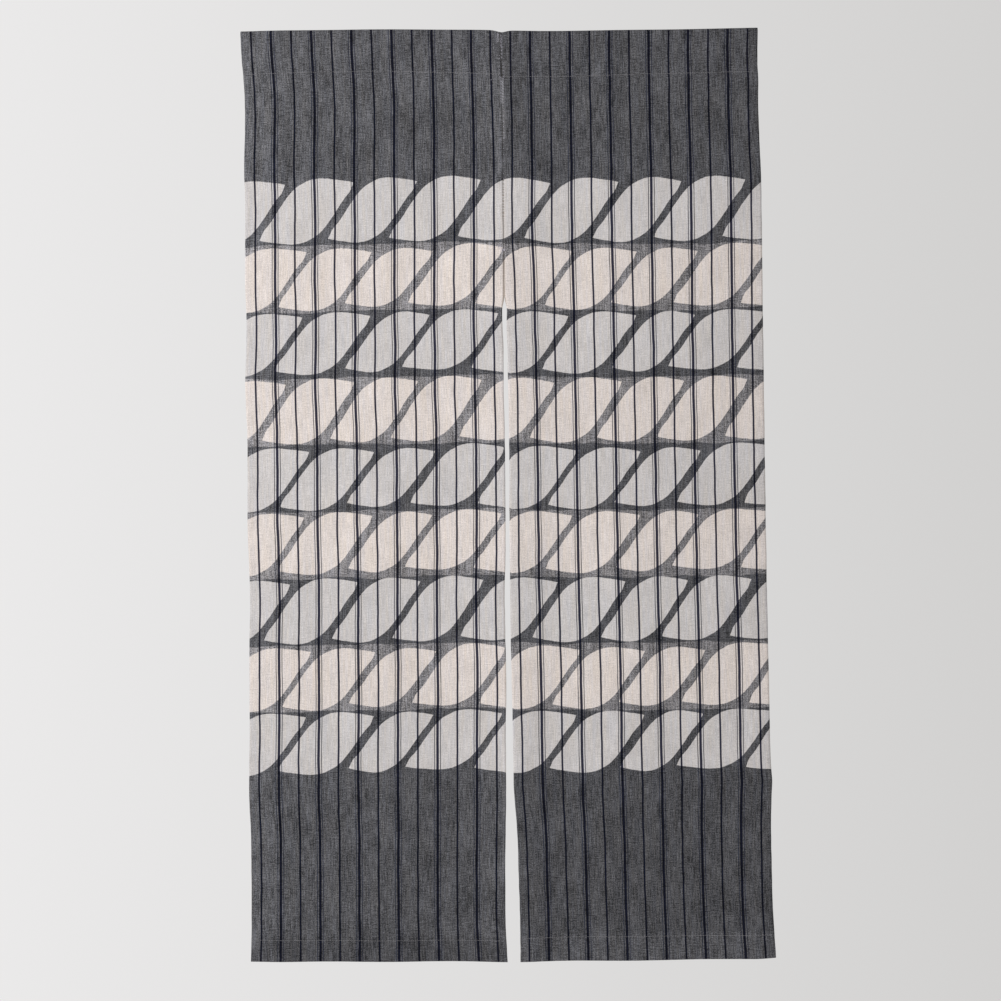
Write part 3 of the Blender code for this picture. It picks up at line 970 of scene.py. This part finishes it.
def seam_band_and_painted_shade(tree, across, down):
    """Masks of the paler band by the seam, partly pale thread and selvedge and partly painted light, and
    of the painted shade of the dark line and needle holes along it.
    """
    from_seam = add(tree, "Math", [across, PANEL_WIDTH_MM], operation="SUBTRACT")
    band_at = charted(tree, down, BAND_AT, "VECTOR")
    from_band = add(tree, "Math", [from_seam, band_at], operation="SUBTRACT")
    from_band = add(tree, "Math", [from_band], operation="ABSOLUTE")
    band = soft_band(tree, from_band, BAND_HALF_MM, BAND_EDGE_MM)
    band = add(tree, "Math", [band, charted(tree, down, BAND_SHARE, "VECTOR")], operation="MULTIPLY")
    from_seam = add(tree, "Math", [from_seam], operation="ABSOLUTE")
    line = soft_band(tree, from_seam, LINE_HALF_MM, LINE_EDGE_MM)
    # The needle holes' painted shade comes in a beat that strays a little.
    stray = {"W": down, "Scale": 1 / HOLE_STRAY_LENGTH_MM}
    beat = add(tree, "TexNoise", stray, noise_dimensions="1D")
    beat = add(tree, "Math", [beat, HOLE_STRAY_MM, down], operation="MULTIPLY_ADD")
    beat = add(tree, "Math", [beat, 2 * math.pi / HOLE_STEP_MM], operation="MULTIPLY")
    beat = add(tree, "Math", [beat], operation="SINE")
    beat = add(tree, "Math", [beat, 1.6, -0.1], operation="MULTIPLY_ADD", use_clamp=True)
    holes = charted(tree, down, HOLE_SHADE_SHARE, "VECTOR")
    gap_shade = charted(tree, down, GAP_SHADE_SHARE, "VECTOR")
    dark = add(tree, "Math", [beat, holes, gap_shade], operation="MULTIPLY_ADD", use_clamp=True)
    return band, add(tree, "Math", [line, dark], operation="MULTIPLY")


def weave_bump(tree, across, down, light):
    """The raised threads of the plain weave, at twice their real pitch, and the slubs."""
    warp_wave = add(tree, "Math", [across, 2 * math.pi / WEAVE_PITCH_MM], operation="MULTIPLY")
    weft_wave = add(tree, "Math", [down, 2 * math.pi / WEAVE_PITCH_MM], operation="MULTIPLY")
    warp_wave = add(tree, "Math", [warp_wave], operation="SINE")
    weft_wave = add(tree, "Math", [weft_wave], operation="SINE")
    weave = add(tree, "Math", [warp_wave, weft_wave], operation="MULTIPLY")
    height = add(tree, "Math", [light, SLUB_HEIGHT, weave], operation="MULTIPLY_ADD")
    bump = {"Height": height, "Strength": 0.22, "Distance": 0.00018}
    return add(tree, "Bump", bump)


def dress_cotton(tree, shader, across, down, colour, contrast):
    """Puts the yarns' light and weave on a colour, and sets cotton's dull finish."""
    light = woven_light(tree, across, down)
    factor = add(tree, "Math", [light, contrast, 1.0], operation="MULTIPLY_ADD")
    factor = add(tree, "Math", [factor, DARKEST_YARN], operation="MAXIMUM")
    # Painted shade darkens the seam's dark line and needle holes; the paler band is partly pale thread
    # and selvedge, partly painted light.
    band, dark = seam_band_and_painted_shade(tree, across, down)
    paler = add(tree, "Math", [band, contrast], operation="MULTIPLY")
    factor = add(tree, "Math", [paler, BAND_STRENGTH, factor], operation="MULTIPLY_ADD")
    shaded = add(tree, "VectorMath", {0: colour, 3: factor}, operation="SCALE")
    shadow = add(tree, "Mix", {0: dark, 6: NO_SHADE, 7: SEAM_SHADE}, **MIXED)
    shaded = add(tree, "VectorMath", [shaded, shadow], operation="MULTIPLY")
    # No two warps take the dye alike: some run a little warm and some a little cool.
    where = add(tree, "CombineXYZ", [across, down, 0.0])
    size = (1 / HUE_MM[0], 1 / HUE_MM[1], 1.0)
    where = add(tree, "VectorMath", [where, size], operation="MULTIPLY")
    hue = add(tree, "TexNoise", {"Vector": where, "Scale": 1.0, "Detail": 2.0})
    hue = add(tree, "MapRange", [hue, 0.35, 0.65, 0.0, 1.0])
    tint = add(tree, "Mix", {0: hue, 6: COOL_WARP, 7: WARM_WARP}, **MIXED)
    shaded = add(tree, "VectorMath", [shaded, tint], operation="MULTIPLY")
    tree.links.new(shaded, shader.inputs["Base Color"])
    tree.links.new(weave_bump(tree, across, down, light), shader.inputs["Normal"])
    shader.inputs["Roughness"].default_value = 0.93
    shader.inputs["Specular IOR Level"].default_value = 0.08


def ground_with_painted_light(tree, across, down, colour):
    """The ground with painted light: a little paler on the left panel, at its selvedges and towards the
    head.
    """
    tone = charted(tree, across, GROUND_PAINTED_LIGHT, "VECTOR")
    fade = add(tree, "MapRange", [down, 0.0, DROP_MM, *GROUND_PAINTED_FALLOFF])
    tone = add(tree, "Math", [tone, fade], operation="MULTIPLY")
    # Painted shade and light on the doubled hem, which hangs a little turned: away from the light at the
    # left, to it at the right.
    hem = charted(tree, across, HEM_PAINTED_LIGHT, "VECTOR")
    above, below = HEM_TURN_MM
    in_hem = add(tree, "MapRange", [down, DROP_MM - above, DROP_MM - below, 0.0, 1.0])
    hem = add(tree, "Mix", {0: in_hem, 2: 1.0, 3: hem})
    tone = add(tree, "Math", [tone, hem], operation="MULTIPLY")
    return add(tree, "VectorMath", {0: colour, 3: tone}, operation="SCALE")


def printed_cotton(colours):
    """Yarn-dyed plain-weave cotton with paste-printed rope strands: dull, streaky, flat."""
    material, tree, shader = new_material("Printed plain-weave cotton")
    across, down = cloth_places(tree)
    bar, flank = woven_stripes(tree, across, down)
    strand, pale_ground, pale_row, own = rope_print(tree, across, down)
    ground = add(tree, "Mix", {0: pale_ground, 6: colours.dark_ground, 7: colours.mid_ground}, **MIXED)
    ground = ground_with_painted_light(tree, across, down, ground)
    paste = add(tree, "Mix", {0: pale_row, 6: colours.grey_strand, 7: colours.cream_strand}, **MIXED)
    tone = add(tree, "Math", [own, STRAND_SPREAD, 1 - STRAND_SPREAD / 2], operation="MULTIPLY_ADD")
    paste = add(tree, "VectorMath", {0: paste, 3: tone}, operation="SCALE")
    colour = add(tree, "Mix", {0: strand, 6: ground, 7: paste}, **MIXED)
    colour = add(tree, "Mix", {0: flank, 6: colour, 7: colours.blue_flank}, **MIXED)
    bar = add(tree, "Math", [bar, BAR_SHARE], operation="MULTIPLY")
    navy = add(tree, "Mix", {0: strand, 6: colours.navy_bar, 7: colours.pasted_bar}, **MIXED)
    colour = add(tree, "Mix", {0: bar, 6: colour, 7: navy}, **MIXED)
    # Painted light across the whole cloth: a little darker at the left selvedge and towards the right.
    tone = charted(tree, across, CLOTH_PAINTED_LIGHT, "VECTOR")
    colour = add(tree, "VectorMath", {0: colour, 3: tone}, operation="SCALE")
    contrast = [strand, PRINT_CONTRAST, GROUND_CONTRAST]
    contrast = add(tree, "Math", contrast, operation="MULTIPLY_ADD")
    dress_cotton(tree, shader, across, down, colour, contrast)
    return material


def plain_back_cotton(colours):
    """The unprinted back: the same woven stripes, and the print showing through faintly."""
    material, tree, shader = new_material("Plain-weave cotton back")
    across, down = cloth_places(tree)
    bar, flank = woven_stripes(tree, across, down)
    strand, pale_ground, pale_row, own = rope_print(tree, across, down)
    ground = add(tree, "Mix", {0: pale_ground, 6: colours.dark_ground, 7: colours.mid_ground}, **MIXED)
    paste = add(tree, "Mix", {0: pale_row, 6: colours.grey_strand, 7: colours.cream_strand}, **MIXED)
    through = add(tree, "Mix", {0: strand, 6: ground, 7: paste}, **MIXED)
    colour = add(tree, "Mix", {0: SHOW_THROUGH, 6: colours.back_ground, 7: through}, **MIXED)
    flank = add(tree, "Math", [flank, BACK_FLANK_SHARE], operation="MULTIPLY")
    colour = add(tree, "Mix", {0: flank, 6: colour, 7: colours.blue_flank}, **MIXED)
    bar = add(tree, "Math", [bar, BACK_BAR_SHARE], operation="MULTIPLY")
    colour = add(tree, "Mix", {0: bar, 6: colour, 7: colours.navy_bar}, **MIXED)
    dress_cotton(tree, shader, across, down, colour, BACK_CONTRAST)
    return material


def spun_thread(name, colour):
    """Spun cotton sewing thread: matt, its fibres too fine to be more than a flicker of tone."""
    material, tree, shader = new_material(name)
    where = add(tree, "TexCoord", out=3)
    fibres = add(tree, "TexNoise", {"Vector": where, "Scale": 2200.0, "Detail": 2.0})
    tone = add(tree, "Math", [fibres, 0.5, 0.75], operation="MULTIPLY_ADD")
    shaded = add(tree, "VectorMath", {0: colour[:3], 3: tone}, operation="SCALE")
    tree.links.new(shaded, shader.inputs["Base Color"])
    bump = add(tree, "Bump", {"Height": fibres, "Strength": 0.4, "Distance": 0.0001})
    tree.links.new(bump, shader.inputs["Normal"])
    shader.inputs["Roughness"].default_value = 0.7
    shader.inputs["Sheen Weight"].default_value = 0.1
    return material


def link_piece(name, mesh, materials):
    """A finished piece at the origin, riding on the curtain's one body."""
    piece = bpy.data.objects.new(name, mesh)
    bpy.context.scene.collection.objects.link(piece)
    for material in materials:
        mesh.materials.append(material)
    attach(piece, "root")
    return piece


def panel_piece(name, hanging, materials):
    """One panel's cloth: a grid wrapped along the section, then given its thickness."""
    sizes = hanging.sizes
    stations = section(sizes)
    rows = len(stations) - 1
    columns = sizes.columns
    down = cloth_down(stations)
    grid = bmesh.new()
    bmesh.ops.create_grid(grid, x_segments=columns, y_segments=rows, size=1.0)
    uv_layer = grid.loops.layers.uv.new("Cloth")
    for face in grid.faces:
        face.smooth = True
        for loop in face.loops:
            column = round((loop.vert.co.x + 1) / 2 * columns)
            row = round((loop.vert.co.y + 1) / 2 * rows)
            across = hanging.first_u + PANEL_WIDTH * column / columns
            loop[uv_layer].uv = (across, down[row])
    for vertex in grid.verts:
        column = round((vertex.co.x + 1) / 2 * columns)
        row = round((vertex.co.y + 1) / 2 * rows)
        vertex.co = hanging.place(column / columns, *stations[row])
    bmesh.ops.reverse_faces(grid, faces=grid.faces)
    mesh = bpy.data.meshes.new(name)
    grid.to_mesh(mesh)
    grid.free()
    piece = link_piece(name, mesh, materials)
    thickness = piece.modifiers.new("Cloth thickness", "SOLIDIFY")
    thickness.thickness = sizes.cloth
    thickness.offset = 0.0
    thickness.use_even_offset = True
    thickness.material_offset = 1
    thickness.material_offset_rim = 1
    return piece


def cloth_down(stations):
    """Distance down the cloth of each station, from the crown of the head fold."""
    crown = min(range(len(stations)), key=lambda index: stations[index][0])
    lengths = [0.0]
    for before, after in zip(stations, stations[1:]):
        lengths.append(lengths[-1] + math.dist(before, after))
    return [length - lengths[crown] for length in lengths]


def thread_stitch(threads, start, end, radius):
    """One stitch: a slim rounded dash of thread from start to end."""
    start, end = Vector(start), Vector(end)
    middle = (start + end) / 2
    turn = (end - start).to_track_quat("Z", "Y").to_matrix().to_4x4()
    size = Matrix.Diagonal((radius, radius, (end - start).length / 2, 1.0))
    place = Matrix.Translation(middle) @ turn @ size
    bmesh.ops.create_uvsphere(threads, u_segments=6, v_segments=6, radius=1.0, matrix=place)


def joined(parts):
    """One bmesh of several."""
    whole = bmesh.new()
    for part in parts:
        mesh = bpy.data.meshes.new("part")
        part.to_mesh(mesh)
        part.free()
        whole.from_mesh(mesh)
        bpy.data.meshes.remove(mesh)
    return whole


def threads_piece(name, parts, material):
    """A piece of joined stitches."""
    threads = joined(parts)
    for face in threads.faces:
        face.smooth = True
    mesh = bpy.data.meshes.new(name)
    threads.to_mesh(mesh)
    threads.free()
    return link_piece(name, mesh, [material])


def machine_stitches(hanging, drop, set_back, lift, rng):
    """A row of stitches across a panel, lying on the face that is lifted from the set back."""
    sizes = hanging.sizes
    width = along(hanging.right, drop) - along(hanging.left, drop)
    count = int((width - 2 * STITCH_INSET) / sizes.stitch)
    parts = []
    for number in range(count):
        if number % STITCH_BATCH == 0:
            parts.append(bmesh.new())
        first = (STITCH_INSET + number * sizes.stitch) / width
        last = first + (sizes.stitch - STITCH_SPACE) / width
        ends = []
        for across in (first, last):
            x, y, z = hanging.place(across, drop, set_back)
            ends.append((x, y + lift, z + rng.uniform(-STITCH_WANDER, STITCH_WANDER)))
        thread_stitch(parts[-1], *ends, sizes.thread / 2)
    return parts


class NOREN_OT_add_panels(bpy.types.Operator):
    """Add the two cotton panels"""

    bl_idname = "noren.add_panels"
    bl_label = "Cotton panels"

    def execute(self, context):
        scene = context.scene
        materials = [printed_cotton(scene.noren_colours), plain_back_cotton(scene.noren_colours)]
        left, right = hangings(scene.noren_sizes)
        for name, hanging in (("panel_left", left), ("panel_right", right)):
            piece = panel_piece(name + "_cotton", hanging, materials)
            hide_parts(name)
        return {"FINISHED"}


class NOREN_OT_add_machine_stitching(bpy.types.Operator):
    """Add the stitch lines of the rod pocket and the hem"""

    bl_idname = "noren.add_machine_stitching"
    bl_label = "Pocket and hem stitching"

    def execute(self, context):
        scene = context.scene
        sizes = scene.noren_sizes
        rng = random.Random(7)
        proud = sizes.cloth / 2 + sizes.thread * 0.1
        thread = spun_thread("Grey spun cotton thread", scene.noren_colours.machine_thread)
        for name, hanging in zip(("panel_left", "panel_right"), hangings(sizes)):
            parts = []
            for drop in (sizes.pocket_stitch, sizes.drop - sizes.hem_stitch):
                parts += machine_stitches(hanging, drop, 0.0, -proud, rng)
                parts += machine_stitches(hanging, drop, sizes.layer_step, proud, rng)
            stitches = threads_piece(name + "_stitches", parts, thread)
        return {"FINISHED"}


class NOREN_OT_add_whip_stitch(bpy.types.Operator):
    """Add the hand stitches that hold the two panels edge to edge"""

    bl_idname = "noren.add_whip_stitch"
    bl_label = "Middle seam"

    def execute(self, context):
        scene = context.scene
        sizes = scene.noren_sizes
        left, right = hangings(sizes)
        rng = random.Random(11)
        threads = bmesh.new()
        proud = sizes.cloth / 2 + sizes.thread * 0.4

        def on_face(offset, drop):
            """Just proud of the front, that far to the right of the seam."""
            panel = left if offset < 0 else right
            across = offset / PANEL_WIDTH + (1 if offset < 0 else 0)
            return panel.place(across, drop, front_set_back(sizes, drop) - proud)

        for run in SEAM_RUNS:
            drop = run.first
            while drop < run.last:
                start = on_face(run.begin * rng.uniform(*HAND_SPREAD), drop)
                end = on_face(run.end * rng.uniform(*HAND_SPREAD), drop + run.slant)
                thread_stitch(threads, start, end, sizes.thread * rng.uniform(*THREAD_SPREAD))
                drop += run.step * rng.uniform(*HAND_SPREAD)
        for nep in NEPS:
            offset = nep.across - PANEL_WIDTH
            ends = (on_face(offset, nep.drop), on_face(offset + 0.0012, nep.drop + 0.0006))
            thread_stitch(threads, *ends, sizes.thread * 0.9)
        # The thread's end curls off the seam to the left.
        for start, end in zip(THREAD_END, THREAD_END[1:]):
            places = []
            for point in (start, end):
                across = 1 - point.from_seam / PANEL_WIDTH
                places.append(left.place(across, point.drop, -proud - point.proud))
            thread_stitch(threads, *places, sizes.thread * 0.95)
        thread = spun_thread("Pale spun cotton thread", scene.noren_colours.seam_thread)
        threads_piece("middle_seam_whip_stitch", [threads], thread)
        return {"FINISHED"}


class NOREN_OT_add_stage(bpy.types.Operator):
    """Add the floor, the lights, the sky and the camera"""

    bl_idname = "noren.add_stage"
    bl_label = "Stage"

    def execute(self, context):
        add_floor()
        add_lights()
        add_sky()
        add_camera()
        return {"FINISHED"}


PHOTO_SIDE = 1001
PHOTO_MM_PER_PIXEL = 1.611
PHOTO_ROLL = math.radians(0.35)
TOP_MIDDLE_PIXEL = (498.5, 29.7)  # where the middle of the top edge stands in the frame
FLOOR_DROP = 2.15


def add_floor():
    """A plain pale studio floor, well below the foot of the cloth."""
    disc = bmesh.new()
    bmesh.ops.create_circle(disc, cap_ends=True, segments=96, radius=1.5)
    bmesh.ops.translate(disc, verts=disc.verts, vec=(0.0, 0.0, -FLOOR_DROP))
    mesh = bpy.data.meshes.new("studio_floor")
    disc.to_mesh(mesh)
    disc.free()
    material, tree, shader = new_material("Matt white floor paint")
    shader.inputs["Base Color"].default_value = linear("e6e6e6")
    shader.inputs["Roughness"].default_value = 0.9
    mesh.materials.append(material)
    floor = bpy.data.objects.new("studio_floor", mesh)
    bpy.context.scene.collection.objects.link(floor)


def add_area_light(name, place, aim, side, power):
    data = bpy.data.lights.new(name, "AREA")
    data.shape = "SQUARE"
    data.size = side
    data.energy = power
    lamp = bpy.data.objects.new(name, data)
    lamp.location = place
    lamp.rotation_euler = (Vector(aim) - Vector(place)).to_track_quat("-Z", "Y").to_euler()
    bpy.context.scene.collection.objects.link(lamp)


def add_lights():
    """A broad soft key from the left, as in the photo, and one behind for the back."""
    middle = (0.0, 0.0, -0.7)
    add_area_light("key_softbox", (-1.9, -1.6, -0.1), middle, 1.6, 35.0)
    add_area_light("rear_softbox", (1.8, 2.8, 0.4), middle, 1.8, 55.0)


def add_sky():
    """A plain pale surround, a little darker towards the right as the photo's wall is."""
    world = bpy.data.worlds.new("Pale studio surround")
    bpy.context.scene.world = world
    world.use_nodes = True
    tree = world.node_tree
    background = tree.nodes["Background"]
    direction = add(tree, "TexCoord")
    split = add(tree, "SeparateXYZ", [direction]).node
    share = add(tree, "MapRange", [split.outputs["X"], -0.28, 0.28, 0.0, 1.0])
    ends = {0: share, 6: linear("ecebeb"), 7: linear("d0cfce")}
    colour = add(tree, "Mix", ends, **MIXED)
    tree.links.new(colour, background.inputs["Color"])
    background.inputs["Strength"].default_value = 1.0


def add_camera():
    """The photo's straight-on view, turned by the small angle at which the curtain hangs."""
    data = bpy.data.cameras.new("photo_camera")
    data.lens = 70.0
    frame_width = PHOTO_SIDE * PHOTO_MM_PER_PIXEL / 1000
    distance = frame_width * data.lens / data.sensor_width
    right = (PHOTO_SIDE / 2 - TOP_MIDDLE_PIXEL[0]) * PHOTO_MM_PER_PIXEL / 1000
    up = (TOP_MIDDLE_PIXEL[1] - PHOTO_SIDE / 2) * PHOTO_MM_PER_PIXEL / 1000
    x = right * math.cos(PHOTO_ROLL) + up * math.sin(PHOTO_ROLL)
    z = up * math.cos(PHOTO_ROLL) - right * math.sin(PHOTO_ROLL)
    camera = bpy.data.objects.new("photo_camera", data)
    camera.location = (x, -distance, z)
    camera.rotation_euler = (math.radians(90), PHOTO_ROLL, 0.0)
    bpy.context.scene.collection.objects.link(camera)
    bpy.context.scene.camera = camera
    bpy.context.scene.view_settings.view_transform = "Standard"


class NOREN_PT_sidebar(bpy.types.Panel):
    """Shows the curtain's sizes, colours and the buttons that add its pieces in the 3D view's sidebar"""

    bl_idname = "NOREN_PT_sidebar"
    bl_label = "Noren curtain"
    bl_space_type = "VIEW_3D"
    bl_region_type = "UI"
    bl_category = "Noren"

    def draw(self, context):
        layout = self.layout
        for group in (context.scene.noren_sizes, context.scene.noren_colours):
            column = layout.column()
            for name in group.bl_rna.properties.keys():
                if name not in ("rna_type", "name"):
                    column.prop(group, name)
        for operator in OPERATORS:
            layout.operator(operator.bl_idname)


OPERATORS = (
    NOREN_OT_add_panels,
    NOREN_OT_add_machine_stitching,
    NOREN_OT_add_whip_stitch,
    NOREN_OT_add_stage,
)
CLASSES = (NorenSizes, NorenColours, *OPERATORS, NOREN_PT_sidebar)


def register():
    for each in CLASSES:
        bpy.utils.register_class(each)
    bpy.types.Scene.noren_sizes = PointerProperty(type=NorenSizes)
    bpy.types.Scene.noren_colours = PointerProperty(type=NorenColours)


def unregister():
    del bpy.types.Scene.noren_colours
    del bpy.types.Scene.noren_sizes
    for each in reversed(CLASSES):
        bpy.utils.unregister_class(each)


def main():
    register()
    bpy.ops.noren.add_panels()
    bpy.ops.noren.add_machine_stitching()
    bpy.ops.noren.add_whip_stitch()
    bpy.ops.noren.add_stage()


if __name__ == "__main__":
    main()
